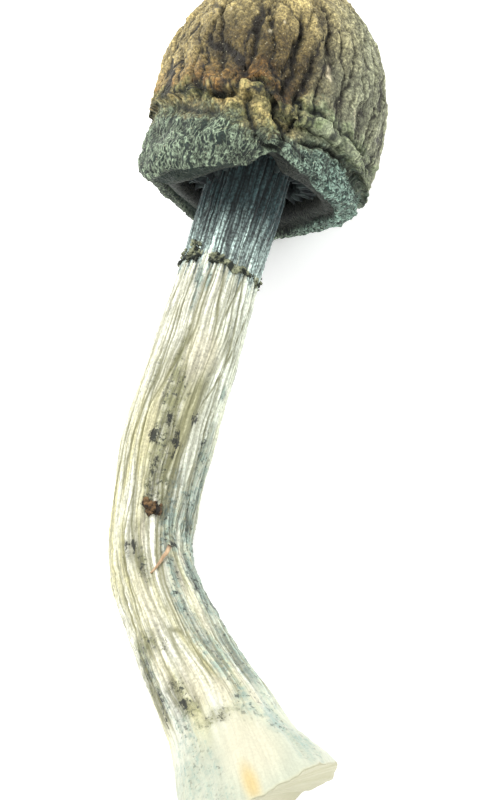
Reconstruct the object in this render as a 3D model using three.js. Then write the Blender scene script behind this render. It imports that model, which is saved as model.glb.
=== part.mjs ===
// A dried mushroom lying on its side: a bell-shaped cap with an in-rolled
// margin, the gill blades inside it, a bowed stem with a flared foot, the torn
// veil ring round the stem's neck and two scraps stuck to the stem.
// Millimetres, +Z up. The cap points along +Y and the foot along -Y.
import * as THREE from 'three';

// ---- cap
const CAP_RADIUS = 11.9;      // at the margin
const CAP_HEIGHT = 25.6;      // margin plane to crown
const CAP_YAW = 13;           // degrees its axis swings from +Y toward +X
const CAP_PITCH = 5;          // degrees the crown end is lifted
const BELT_HEIGHT = 7.1;      // where the skin of the dome ends
const LEDGE = 0.35;           // how far that skin stands over the margin
const ROLL = 2.3;             // radius of the in-rolled margin
const FLESH = 2.4;            // thickness of the cap's wall
const CROWN_FLESH = 5.6;      // solid part over the stem
const LEFT_DROOP = 2.4;       // the margin hangs lower on the left
const RIGHT_LIFT = 1.5;       // and higher on the right, toward the table
const RIGHT_BULGE = 0.7;      // the dome swells on the right
const RIGHT_TUCK = 0.7;       // and the margin below it is tucked in
const NOTCH_DEPTH = 1.5;      // V-shaped crack in the margin
const NOTCH_AT = 15;          // degrees round from the top, toward +X

// ---- stem
const STEM_RADIUS = 4.2;      // at the neck
const STEM_REACH = 63;        // margin plane to the end of the foot, along Y
const STEM_BOW = 9.2;         // sideways bow
const FOOT_RADIUS = 8;
const FOOT_FLARE = 0.9;       // extra on the +X side of the foot
const FOOT_SKEW = 13;         // degrees the torn end turns toward +X
const FOOT_RAKE = 20;         // degrees its upper edge overhangs
const FOOT_HOLLOW = 1.2;      // dish in the torn end

// ---- gills, ring and scraps
const GILL_COUNT = 36;
const GILL_THICKNESS = 0.3;
const RING_DOWN = 7.3;         // below the margin plane, along the stem
const RING_WIDTH = 1.9;
const RING_THICKNESS = 0.5;
const RING_SLANT = 0.2;
const SPLINTER_DOWN = 38.7;   // the two scraps' places along the stem
const SPLINTER_LENGTH = 3.4;
const CRUMB_DOWN = 32.3;
const CRUMB_SIZE = 1.1;

// ---- fits
const GAP = 0.3;              // between neighbours
const PRESS = 0.3;            // how far a resting patch is flattened

const CAP_AROUND = 44;
const STEM_AROUND = 28;
const STEM_ROWS = 30;

const smooth = THREE.MathUtils.smoothstep;
const rad = THREE.MathUtils.degToRad;

// The cap's own directions: AXIS to the crown, UP off the table, SIDE to +X.
const AXIS = new THREE.Vector3(
  Math.sin(rad(CAP_YAW)) * Math.cos(rad(CAP_PITCH)),
  Math.cos(rad(CAP_YAW)) * Math.cos(rad(CAP_PITCH)),
  Math.sin(rad(CAP_PITCH)));
const SIDE = new THREE.Vector3().crossVectors(AXIS, new THREE.Vector3(0, 0, 1)).normalize();
const UP = new THREE.Vector3().crossVectors(SIDE, AXIS);
const NECK = new THREE.Vector3(0, 0,
  CAP_RADIUS * Math.cos(rad(CAP_PITCH)) - ROLL * Math.sin(rad(CAP_PITCH)) - PRESS);

// 1 at the centre, easing to 0 at the half width; degrees round the cap.
function hump(value, centre, half) {
  let away = Math.abs(value - centre) % 360;
  if (away > 180) away = 360 - away;
  return away >= half ? 0 : 0.5 + 0.5 * Math.cos(Math.PI * away / half);
}

// Height of the skin's edge round the cap: it steps down past the notch.
function beltHeight(deg) {
  const fall = 2.1 * smooth(deg, 4, 18) + 1.7 * smooth(deg, 30, 78);
  return BELT_HEIGHT - fall * (1 - smooth(deg, 100, 165));
}

// Moves one point of the cap, given as radius, height and angle, to its place.
// Every piece inside the cap goes through the same shift, so the gaps hold.
function placeInCap(r, h, deg, outside) {
  let height = h;
  if (outside && h > 0) {
    const belt = beltHeight(deg);
    height = h < BELT_HEIGHT
      ? h * belt / BELT_HEIGHT
      : belt + (h - BELT_HEIGHT) * (CAP_HEIGHT - belt) / (CAP_HEIGHT - BELT_HEIGHT);
  }
  const nearRim = 1 - smooth(h, 0, BELT_HEIGHT + 3);
  height -= LEFT_DROOP * hump(deg, -48, 64) * nearRim;
  height += RIGHT_LIFT * hump(deg, 128, 66) * nearRim;
  height += NOTCH_DEPTH * hump(deg, NOTCH_AT, 15) * nearRim;
  const pinch = outside ? 0.8 * hump(deg, NOTCH_AT, 13) * nearRim : 0;
  const swell = RIGHT_BULGE * hump(deg, 84, 90) * smooth(h, ROLL, BELT_HEIGHT * 1.5);
  const tuck = RIGHT_TUCK * hump(deg, 102, 74) * nearRim;
  const puff = outside ? swell * Math.min(1, r / CAP_RADIUS) - tuck : 0;
  const radius = r - pinch + puff;
  return NECK.clone()
    .addScaledVector(SIDE, radius * Math.sin(rad(deg)))
    .addScaledVector(UP, radius * Math.cos(rad(deg)))
    .addScaledVector(AXIS, height);
}

// Rewrites every vertex of a geometry through a function of its coordinates.
function reshape(geometry, move) {
  const at = geometry.getAttribute('position');
  for (let i = 0; i < at.count; i++) {
    const p = move(at.getX(i), at.getY(i), at.getZ(i), i);
    p.z = Math.max(p.z, 0);
    at.setXYZ(i, p.x, p.y, p.z);
  }
  geometry.computeVertexNormals();
  return geometry;
}

function spline(points) {
  return new THREE.SplineCurve(points.map(([a, b]) => new THREE.Vector2(a, b)));
}

function named(name, geometry, colour, roughness) {
  const material = new THREE.MeshStandardMaterial({ color: colour, roughness, metalness: 0 });
  const mesh = new THREE.Mesh(geometry, material);
  mesh.name = name;
  return mesh;
}

// Outline of the gill chamber, from just above the rolled margin to its roof.
const CHAMBER = spline([
  [CAP_RADIUS - 1.9 * ROLL, 2.1 * ROLL],
  [CAP_RADIUS - FLESH - 0.3, 3.2 * ROLL],
  [CAP_RADIUS - FLESH, CAP_HEIGHT * 0.45],
  [CAP_RADIUS * 0.62, CAP_HEIGHT * 0.65],
  [STEM_RADIUS + 1.2, CAP_HEIGHT - CROWN_FLESH - 0.4],
]);

function capProfile() {
  const dome = spline([
    [0, 1], [0.36, 0.96], [0.68, 0.84], [0.87, 0.69], [0.95, 0.54], [0.965, 0.4],
    [0.98, BELT_HEIGHT / CAP_HEIGHT],
  ]).getPoints(13).map((p) => new THREE.Vector2(p.x * CAP_RADIUS, p.y * CAP_HEIGHT));
  dome[0].x = 0;
  const edge = dome[dome.length - 1];
  edge.x += LEDGE;
  const below = spline([
    [CAP_RADIUS - LEDGE * 1.6, BELT_HEIGHT - 0.25],
    [CAP_RADIUS - LEDGE, BELT_HEIGHT * 0.68],
    [CAP_RADIUS, ROLL * 1.1],
  ]).getPoints(3);
  const roll = [];
  for (let turn = -24; turn >= -216; turn -= 24) {
    roll.push(new THREE.Vector2(
      CAP_RADIUS - ROLL + ROLL * Math.cos(rad(turn)),
      ROLL + ROLL * Math.sin(rad(turn))));
  }
  const chamber = CHAMBER.getPoints(8);
  chamber.push(new THREE.Vector2(0, CAP_HEIGHT - CROWN_FLESH));
  return { points: [...dome, ...below, ...roll, ...chamber], outer: dome.length + below.length + 4 };
}

function makeCap() {
  const { points, outer } = capProfile();
  const geometry = new THREE.LatheGeometry(points.reverse(), CAP_AROUND);
  return reshape(geometry, (x, y, z, i) => {
    const row = points.length - 1 - (i % points.length);
    const deg = THREE.MathUtils.radToDeg(Math.atan2(x, z));
    return placeInCap(Math.hypot(x, z), y, deg, row < outer);
  });
}

// The stem's centre line from foot to roof of the gill chamber. Each row:
// share of the reach, share of the bow, lift off the table, radius.
const STEM_TOP = CAP_HEIGHT - CROWN_FLESH - 2 * GAP;
const NECK_LIFT = NECK.z - STEM_RADIUS;
const STATIONS = [
  [1, 0.13, -PRESS, FOOT_RADIUS],
  [0.93, -0.03, -PRESS * 0.5, FOOT_RADIUS * 0.85],
  [0.85, -0.25, 0.4, STEM_RADIUS + 1.4],
  [0.72, -0.7, 0.3, STEM_RADIUS + 0.5],
  [0.58, -1.01, -PRESS, STEM_RADIUS],
  [0.48, -0.97, 0.25, STEM_RADIUS + 0.1],
  [0.36, -0.78, NECK_LIFT * 0.32, STEM_RADIUS + 0.4],
  [0.235, -0.5, NECK_LIFT * 0.64, STEM_RADIUS + 0.2],
  [0.105, -0.24, NECK_LIFT * 0.92, STEM_RADIUS - 0.1],
];
const onAxis = (up) => NECK.clone().addScaledVector(AXIS, up);
const STEM_PATH = new THREE.CatmullRomCurve3([
  ...STATIONS.map(([down, side, lift, r]) =>
    new THREE.Vector3(side * STEM_BOW, -down * STEM_REACH, lift + r)),
  onAxis(0).add(new THREE.Vector3(-0.4, 0, -0.3)),
  onAxis(STEM_TOP * 0.5),
  onAxis(STEM_TOP),
], false, 'catmullrom', 0.5);
const STEM_GIRTH = spline([
  ...STATIONS.map((row, i) => [i, row[3]]),
  [9, STEM_RADIUS], [10, STEM_RADIUS], [11, STEM_RADIUS],
]);

// Share along the path at a distance below the margin plane.
function shareAt(down) {
  const marks = [...STATIONS.map((row) => row[0] * STEM_REACH), 0];
  const k = marks.findIndex((mark, i) => mark >= down && marks[i + 1] < down);
  return (k + (marks[k] - down) / (marks[k] - marks[k + 1])) / (STEM_PATH.points.length - 1);
}

// A point beside the stem: share along the path, distance from the centre line
// and angle round it, 0 on top and 90 on the +X side.
function besideStem(t, r, deg) {
  const along = STEM_PATH.getTangent(t);
  const side = new THREE.Vector3().crossVectors(along, new THREE.Vector3(0, 0, 1)).normalize();
  const up = new THREE.Vector3().crossVectors(side, along);
  return STEM_PATH.getPoint(t)
    .addScaledVector(side, r * Math.sin(rad(deg)))
    .addScaledVector(up, r * Math.cos(rad(deg)));
}

// Radius of the stem's skin: the foot flares out on its +X side.
function girth(t, deg) {
  const flare = FOOT_FLARE * (1 - smooth(t, 0, 0.14)) * hump(deg, 95, 110);
  return STEM_GIRTH.getPoint(t).y + flare;
}

function makeStem() {
  const rows = [new THREE.Vector2(0, 0), new THREE.Vector2(0.6, 0), new THREE.Vector2(0.9, 0)];
  for (let k = 0; k <= STEM_ROWS; k++) rows.push(new THREE.Vector2(1, k / STEM_ROWS));
  rows.push(new THREE.Vector2(0.75, 1), new THREE.Vector2(0, 1));
  const geometry = new THREE.LatheGeometry(rows, STEM_AROUND);
  return reshape(geometry, (x, t, z, i) => {
    const share = Math.hypot(x, z);
    const deg = THREE.MathUtils.radToDeg(Math.atan2(x, z));
    const point = besideStem(t, share * girth(t, deg), deg);
    const dish = i % rows.length < 2 ? FOOT_HOLLOW * (1 - share * 0.5) : 0;
    const round = i % rows.length === 3 ? 0.5 : 0;
    const slant = Math.sin(rad(deg)) * Math.tan(rad(FOOT_SKEW))
      - Math.cos(rad(deg)) * Math.tan(rad(FOOT_RAKE));
    const skew = share * FOOT_RADIUS * slant * (1 - smooth(t, 0, 0.16));
    return point.addScaledVector(STEM_PATH.getTangent(t), dish + round + skew);
  });
}

// One gill: a thin upright blade between the stem and the chamber's wall.
function makeGill(index) {
  const shape = new THREE.Shape();
  const inner = STEM_RADIUS + 1;
  shape.moveTo(inner, ROLL * 0.9);
  shape.lineTo(CAP_RADIUS - 2 * ROLL - GAP - 0.1, ROLL * 0.9);
  for (const share of [0, 0.2, 0.4, 0.6, 0.8]) {
    const p = CHAMBER.getPoint(share);
    shape.lineTo(p.x - GAP - 0.15, p.y - GAP * share);
  }
  shape.lineTo(inner, CHAMBER.getPoint(0.8).y);
  const blade = new THREE.ExtrudeGeometry(shape, { depth: GILL_THICKNESS, bevelEnabled: false });
  const turn = 360 * index / GILL_COUNT;
  return reshape(blade, (r, h, side) => {
    const off = GILL_THICKNESS / 2 - side;
    const deg = turn + THREE.MathUtils.radToDeg(off / r);
    return placeInCap(r, h, ((deg + 180) % 360) - 180, false);
  });
}

// The veil ring: a thin, slanted, ragged band round the neck of the stem.
function makeRing() {
  const profile = [[0, 0], [1, 0], [1, 1], [0, 1], [0, 0]].map(([a, b]) => new THREE.Vector2(1 + a, b));
  const geometry = new THREE.LatheGeometry(profile, STEM_AROUND);
  return reshape(geometry, (x, share, z) => {
    const deg = THREE.MathUtils.radToDeg(Math.atan2(x, z));
    const skin = Math.hypot(x, z) - 1;
    const ragged = 1 + 0.25 * Math.sin(rad(3 * deg)) + 0.15 * Math.sin(rad(7 * deg));
    const up = (share - 0.5) * RING_WIDTH * ragged - RING_SLANT * Math.sin(rad(deg));
    const t = shareAt(RING_DOWN - up);
    const ringRadius = girth(t, deg) + GAP + skin * RING_THICKNESS * ragged;
    return besideStem(t, ringRadius, deg);
  });
}

// Scraps lie a gap clear of the stem's skin.
function makeSplinter() {
  const t = shareAt(SPLINTER_DOWN);
  const body = new THREE.CylinderGeometry(0.3, 0.5, SPLINTER_LENGTH, 7, 2);
  const seat = besideStem(t, girth(t, 10) + GAP + 0.62, 10);
  return reshape(body, (x, y, z) => seat.clone().add(
    new THREE.Vector3(x + y * 0.52, y * 0.85 - x * 0.4, z * 0.7)));
}

function makeCrumb() {
  const t = shareAt(CRUMB_DOWN);
  const body = new THREE.IcosahedronGeometry(CRUMB_SIZE, 1);
  const seat = besideStem(t, girth(t, 7) + GAP + CRUMB_SIZE * 0.75, 7);
  return reshape(body, (x, y, z) => seat.clone().add(
    new THREE.Vector3(x * 0.62, y * 1.1, z * 0.62)));
}

const mushroom = new THREE.Group();
mushroom.name = 'dried_mushroom';
mushroom.add(named('cap', makeCap(), 0x8a7a52, 0.75));
mushroom.add(named('stem', makeStem(), 0xe6e4cc, 0.8));
for (let i = 0; i < GILL_COUNT; i++) {
  const name = `gill_${String(i + 1).padStart(2, '0')}`;
  mushroom.add(named(name, makeGill(i), 0x2b312e, 0.9));
}
mushroom.add(named('veil_ring', makeRing(), 0x4d5348, 0.9));
mushroom.add(named('splinter', makeSplinter(), 0xc7a468, 0.8));
mushroom.add(named('crumb', makeCrumb(), 0x5f4a33, 0.95));

// Origin at the middle of the bounding box, on the table.
const box = new THREE.Box3().setFromObject(mushroom);
const shift = box.getCenter(new THREE.Vector3()).negate();
for (const mesh of mushroom.children) mesh.geometry.translate(shift.x, shift.y, -box.min.z);

export default mushroom;
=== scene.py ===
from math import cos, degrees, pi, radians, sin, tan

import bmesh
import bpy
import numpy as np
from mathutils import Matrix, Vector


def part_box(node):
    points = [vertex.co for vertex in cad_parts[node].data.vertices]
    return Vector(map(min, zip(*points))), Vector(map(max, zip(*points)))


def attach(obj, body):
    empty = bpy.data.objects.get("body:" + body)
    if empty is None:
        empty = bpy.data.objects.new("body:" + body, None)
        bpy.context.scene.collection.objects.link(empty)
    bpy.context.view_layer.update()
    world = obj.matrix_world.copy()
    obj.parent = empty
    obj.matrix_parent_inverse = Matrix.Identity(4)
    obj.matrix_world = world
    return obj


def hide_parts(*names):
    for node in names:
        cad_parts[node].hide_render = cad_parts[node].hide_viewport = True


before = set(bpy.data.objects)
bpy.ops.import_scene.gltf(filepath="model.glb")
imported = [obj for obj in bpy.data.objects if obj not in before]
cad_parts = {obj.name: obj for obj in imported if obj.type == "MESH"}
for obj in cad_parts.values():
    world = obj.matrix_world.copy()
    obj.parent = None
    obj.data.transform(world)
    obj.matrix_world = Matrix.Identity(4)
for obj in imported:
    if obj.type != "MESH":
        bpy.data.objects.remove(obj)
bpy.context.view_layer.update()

# %% [markdown]
# # A dried mushroom, lying on its side
#
# The mushroom has two grown pieces, a bell-shaped cap and a bowed stem, with
# gills inside the cap and the torn rest of a veil round the stem. The frame
# loaded above holds the plain CAD solids in their places. Each visible piece
# below starts from the same few sizes, so it lands on its CAD solid, and then
# gets the wrinkles and stains that drying gives it.

MM = 0.001

# %% [markdown]
# ## Sizes
#
# These are the mushroom's own sizes in millimetres. Angles round the cap and
# the stem are in degrees: 0 is the upper side, 90 is toward +X, 180 is the
# side on the table.

# %% Sizes shared by all pieces
CAP_RADIUS, CAP_HEIGHT = 11.9, 25.6
CAP_YAW, CAP_PITCH = radians(13), radians(5)
BELT_HEIGHT, LEDGE, ROLL = 7.1, 0.35, 2.3
FLESH, CROWN_FLESH = 2.4, 5.6
LEFT_DROOP, RIGHT_LIFT, RIGHT_BULGE, RIGHT_TUCK = 2.4, 1.5, 0.7, 0.7
NOTCH_DEPTH, NOTCH_AT = 1.5, 15
STEM_RADIUS, STEM_REACH, STEM_BOW = 4.2, 63, 9.2
FOOT_RADIUS, FOOT_FLARE, FOOT_HOLLOW = 8, 0.9, 1.2
FOOT_SKEW, FOOT_RAKE = radians(13), radians(20)
RING_DOWN = 7.3
PRESS = 0.3
# patterns are read on cylinders of these radii, near the radii of the skins themselves
CAP_ROUND, STEM_ROUND, FOOT_ROUND = 11.0, 4.4, 6.5
# more than the mushroom is long
FAR_AWAY = 99.0

# %% [markdown]
# ## Small curves that shape everything
#
# `ease` and `hump` are the two soft steps used to say "more here, less there".
# `through` runs a smooth curve through a handful of points, which is how the
# outline of the cap and the line of the stem are drawn. All of them take whole
# arrays, because a wrinkled skin has about a hundred thousand points.

# %% Soft steps and smooth curves
def ease(x, low, high):
    x = np.clip((np.asarray(x, float) - low) / (high - low), 0, 1)
    return x * x * (3 - 2 * x)


def hump(value, centre, half):
    away = np.abs(np.asarray(value, float) - centre) % 360
    away = np.minimum(away, 360 - away)
    return np.where(away >= half, 0, 0.5 + 0.5 * np.cos(pi * away / half))


def through(points, t, past_ends=False):
    """Points at shares t of a smooth curve through the given points."""
    points = np.asarray(points, float)
    last = len(points) - 1
    place = np.clip(np.asarray(t, float), 0, 1) * last
    k = np.minimum(place.astype(int), last - 1)
    f = (place - k)[..., None]
    a, b = points[k], points[k + 1]
    before, after = points[np.maximum(k - 1, 0)], points[np.minimum(k + 2, last)]
    if past_ends:
        before = np.where((k > 0)[..., None], before, 2 * a - b)
        after = np.where((k + 2 <= last)[..., None], after, 2 * b - a)
    return (a * (2 * f**3 - 3 * f**2 + 1) + b * (3 * f**2 - 2 * f**3)
            + (b - before) / 2 * (f**3 - 2 * f**2 + f) + (after - a) / 2 * (f**3 - f**2))


# %% [markdown]
# ## Two kinds of wrinkle noise
#
# Blender's own noise answers for one point at a time. These two answer for a
# whole skin at once. `soft_noise` is a smooth up and down. `border` scatters
# points in space and says how far a place is from the border between two of
# them: the borders make the sharp creases, and the pillows between them the
# puffed skin that a drying mushroom has. Cells are long and narrow where the
# size given is.

# %% Noise for whole skins
EDGE_WAYS = np.array([(a, b, 0) for a in (1, -1) for b in (1, -1)]
                     + [(a, 0, b) for a in (1, -1) for b in (1, -1)]
                     + [(0, a, b) for a in (1, -1) for b in (1, -1)], float)


def scramble(spot, seed):
    """A fixed, random-looking whole number for each cell: big odd factors stir its bits."""
    mixed = (spot[..., 0] * 374761393 + spot[..., 1] * 668265263
             + spot[..., 2] * 1440662683 + seed * 1013904223) & 0xFFFFFFFF
    mixed = ((mixed ^ (mixed >> 13)) * 1274126177) & 0xFFFFFFFF
    return mixed ^ (mixed >> 16)


def soft_noise(where, seed, size=1.0):
    """Smooth noise of about -0.7 to 0.7, with bumps of this size in mm."""
    where = where / np.asarray(size, float)
    cell = np.floor(where)
    part = where - cell
    fade = part**3 * (part * (part * 6 - 15) + 10)
    total = np.zeros(part.shape[:-1])
    for corner in np.ndindex(2, 2, 2):
        way = EDGE_WAYS[scramble((cell + corner).astype(np.int64), seed) % 12]
        weight = np.where(np.array(corner) == 1, fade, 1 - fade).prod(-1)
        total += weight * (way * (part - corner)).sum(-1)
    return total


def border(where, size, seed):
    """Distance in mm from each place to the nearest border between cells of this size."""
    spot = where / np.asarray(size, float)
    cell = np.floor(spot)
    first, second = np.full(len(spot), FAR_AWAY), np.full(len(spot), FAR_AWAY)
    first_at, second_at = np.zeros_like(spot), np.ones_like(spot)
    for step in np.ndindex(3, 3, 3):
        corner = cell + np.array(step) - 1
        mixed = scramble(corner.astype(np.int64), seed)
        point = corner + np.stack([(mixed >> bits) & 1023 for bits in (0, 10, 20)], -1) / 1023
        away = ((point - spot) ** 2).sum(-1)
        best, next_best = away < first, away < second
        second = np.where(best, first, np.where(next_best, away, second))
        second_at = np.where(best[:, None], first_at,
                             np.where(next_best[:, None], point, second_at))
        first = np.where(best, away, first)
        first_at = np.where(best[:, None], point, first_at)
    return (second - first) / (2 * np.linalg.norm((second_at - first_at) / size, axis=-1))


def round_the(deg, along, radius):
    """Places on a cylinder in mm, so that a pattern read there has no seam."""
    a = np.radians(deg)
    return np.stack(np.broadcast_arrays(radius * np.sin(a), radius * np.cos(a), along), -1)


def pillow(distance, width):
    """0 on a border and 1 well inside its cell."""
    return 1 - np.exp(-distance / width)


def valley(distance, width):
    """1 on a border or a line and 0 away from it."""
    return np.exp(-((distance / width) ** 2))


# %% [markdown]
# ## Where the cap sits
#
# The cap's axis leans a little off the table and swings toward +X. Every point
# of the cap is first given as radius, height and angle, and one function takes
# it to its place, with the droop on the left and the notch at the top.

# %% The cap's own directions
AXIS = np.array([sin(CAP_YAW) * cos(CAP_PITCH), cos(CAP_YAW) * cos(CAP_PITCH), sin(CAP_PITCH)])
SIDE = np.cross(AXIS, (0, 0, 1))
SIDE /= np.linalg.norm(SIDE)
UP = np.cross(SIDE, AXIS)
NECK = np.array([0, 0, CAP_RADIUS * cos(CAP_PITCH) - ROLL * sin(CAP_PITCH) - PRESS])


def place_in_cap(r, h, deg, skin):
    """Place of a point; skin is 1 on the outer face and 0 inside the chamber."""
    fall = 2.1 * ease(deg, 4, 18) + 1.7 * ease(deg, 30, 78)
    belt = BELT_HEIGHT - fall * (1 - ease(deg, 100, 165))
    squeezed = np.where(h < BELT_HEIGHT, h * belt / BELT_HEIGHT,
                        belt + (h - BELT_HEIGHT) * (CAP_HEIGHT - belt) / (CAP_HEIGHT - BELT_HEIGHT))
    near_rim = 1 - ease(h, 0, BELT_HEIGHT + 3)
    height = h + skin * np.where(h > 0, squeezed - h, 0)
    height = height + near_rim * (NOTCH_DEPTH * hump(deg, NOTCH_AT, 15)
                                  + RIGHT_LIFT * hump(deg, 128, 66)
                                  - LEFT_DROOP * hump(deg, -48, 64))
    swell = RIGHT_BULGE * hump(deg, 84, 90) * ease(h, ROLL, BELT_HEIGHT * 1.5)
    tuck = RIGHT_TUCK * hump(deg, 102, 74) + 0.8 * hump(deg, NOTCH_AT, 13)
    radius = r + skin * (swell * np.minimum(1, r / CAP_RADIUS) - near_rim * tuck)
    a = np.radians(deg)
    return (NECK + (radius * np.sin(a))[..., None] * SIDE + (radius * np.cos(a))[..., None] * UP
            + height[..., None] * AXIS)


# %% [markdown]
# ## The cap's outline
#
# Cut through the cap and this is the line of the cut: down over the dome, over
# the edge of the skin, round the rolled margin and up into the gill chamber.
# The whole skin is then spun from this one line. Each point also gets its
# distance along the line from the belt, plus above it and minus below it.

# %% Outline of the cap
DOME = [(0, CAP_HEIGHT), (0.36 * CAP_RADIUS, 0.96 * CAP_HEIGHT),
        (0.68 * CAP_RADIUS, 0.84 * CAP_HEIGHT), (0.87 * CAP_RADIUS, 0.69 * CAP_HEIGHT),
        (0.95 * CAP_RADIUS, 0.54 * CAP_HEIGHT), (0.965 * CAP_RADIUS, 0.4 * CAP_HEIGHT),
        (0.98 * CAP_RADIUS, BELT_HEIGHT)]
MARGIN = [(CAP_RADIUS - LEDGE * 1.6, BELT_HEIGHT - 0.25),
          (CAP_RADIUS - LEDGE, BELT_HEIGHT * 0.68), (CAP_RADIUS, ROLL * 1.1)]
CHAMBER = [(CAP_RADIUS - 1.9 * ROLL, 2.1 * ROLL), (CAP_RADIUS - FLESH - 0.3, 3.2 * ROLL),
           (CAP_RADIUS - FLESH, CAP_HEIGHT * 0.45), (CAP_RADIUS * 0.62, CAP_HEIGHT * 0.65),
           (STEM_RADIUS + 1.2, CAP_HEIGHT - CROWN_FLESH - 0.4)]
DOME_ROWS, MARGIN_ROWS, ROLL_ROWS, CHAMBER_ROWS = 128, 30, 36, 14
CAP_AROUND = 440


def cap_outline():
    dome = through(DOME, np.arange(DOME_ROWS + 1) / DOME_ROWS)
    dome[:, 0] += LEDGE * np.exp(-((dome[:, 1] - BELT_HEIGHT) / 0.8) ** 2)
    dome[0, 0] = 0
    margin = through(MARGIN, np.arange(MARGIN_ROWS + 1) / MARGIN_ROWS)
    turn = np.radians(-24 - 192 * np.arange(ROLL_ROWS + 1) / ROLL_ROWS)
    roll = np.stack([CAP_RADIUS - ROLL + ROLL * np.cos(turn), ROLL + ROLL * np.sin(turn)], 1)
    chamber = through(CHAMBER, np.arange(CHAMBER_ROWS + 1) / CHAMBER_ROWS)
    return np.concatenate([dome, margin, roll, chamber, [(0.0, CAP_HEIGHT - CROWN_FLESH)]])


outline = cap_outline()
steps = np.linalg.norm(np.diff(outline, axis=0), axis=1)
travel = np.concatenate([[0], np.cumsum(steps)])
above_belt = travel[DOME_ROWS] - travel
lip_end = DOME_ROWS + MARGIN_ROWS + 1 + ROLL_ROWS
print("cap outline:", len(outline), "points; dome", round(travel[DOME_ROWS], 1), "mm long")


# skin is 1 on the outer face and fades to 0 across the underside of the roll
ROLL_AT = above_belt[DOME_ROWS + MARGIN_ROWS + 1]


def skin_at(s):
    return 1 - ease(ROLL_AT - s, 1.2, 4.6)


def cap_origin():
    """The whole mushroom is centred on the frame; the CAD cap's box gives the shift."""
    low, high = np.array(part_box("cap")) / MM
    deg = np.arange(-180, 180, 2.0)
    rows = np.arange(0, lip_end, 2)
    r, h, s = outline[rows, 0], outline[rows, 1], above_belt[rows]
    p = place_in_cap(r[:, None], h[:, None], deg[None], skin_at(s)[:, None])
    shift = (low + high - p.min((0, 1)) - p.max((0, 1))) / 2
    return np.array([shift[0], shift[1], 0])


ORIGIN = cap_origin()
print("neck stands at", np.round(NECK + ORIGIN, 2), "mm")


def on_cap(s, deg):
    """Place on the smooth skin, s mm above the belt along the outline."""
    s, deg = np.asarray(s, float), np.asarray(deg, float)
    r = np.interp(-s, -above_belt, outline[:, 0])
    h = np.interp(-s, -above_belt, outline[:, 1])
    return place_in_cap(r, h, deg, skin_at(s)) + ORIGIN


# %% [markdown]
# ## Spinning an outline into a skin
#
# A spin makes the whole skin from its outline in one step, with even rings
# that wrinkles can be pushed into. Each vertex remembers which outline row it
# came from, so later steps know the dome from the gill chamber.

# %% Spin helper
def spun_skin(rows, around):
    """A closed mesh spun from rows of (radius, height), with its row numbers and angles."""
    bm = bmesh.new()
    row_mark = bm.verts.layers.float.new("row")
    chain = [bm.verts.new((0, r, h)) for r, h in rows]
    for k, v in enumerate(chain):
        v[row_mark] = k
    edges = [bm.edges.new(pair) for pair in zip(chain, chain[1:])]
    bmesh.ops.spin(bm, geom=chain + edges, cent=(0, 0, 0), axis=(0, 0, -1),
                   angle=2 * pi, steps=around, use_merge=True)
    poles = [v for v in bm.verts if v.co.xy.length < 1e-4]
    bmesh.ops.remove_doubles(bm, verts=poles, dist=1e-4)
    bmesh.ops.recalc_face_normals(bm, faces=bm.faces)
    row = np.array([round(v[row_mark]) for v in bm.verts])
    spun = np.array([v.co for v in bm.verts])
    return bm, row, np.degrees(np.arctan2(spun[:, 0], spun[:, 1]))


def finished(bm, name, points=None, marks=None, smooth=True):
    """Makes the object: points and the bmesh are in mm, and marks become attributes."""
    if points is None:
        points = np.array([v.co for v in bm.verts])
    mesh = bpy.data.meshes.new(name)
    bm.to_mesh(mesh)
    bm.free()
    mesh.vertices.foreach_set("co", (points * MM).ravel())
    mesh.polygons.foreach_set("use_smooth", [smooth] * len(mesh.polygons))
    for mark, values in (marks or {}).items():
        vector = values.ndim == 2
        layer = mesh.attributes.new(mark, "FLOAT_VECTOR" if vector else "FLOAT", "POINT")
        layer.data.foreach_set("vector" if vector else "value", values.astype(float).ravel())
    mesh.update()
    made = bpy.data.objects.new(name, mesh)
    bpy.context.scene.collection.objects.link(made)
    print(name, "has", len(mesh.polygons), "faces")
    return made
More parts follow.
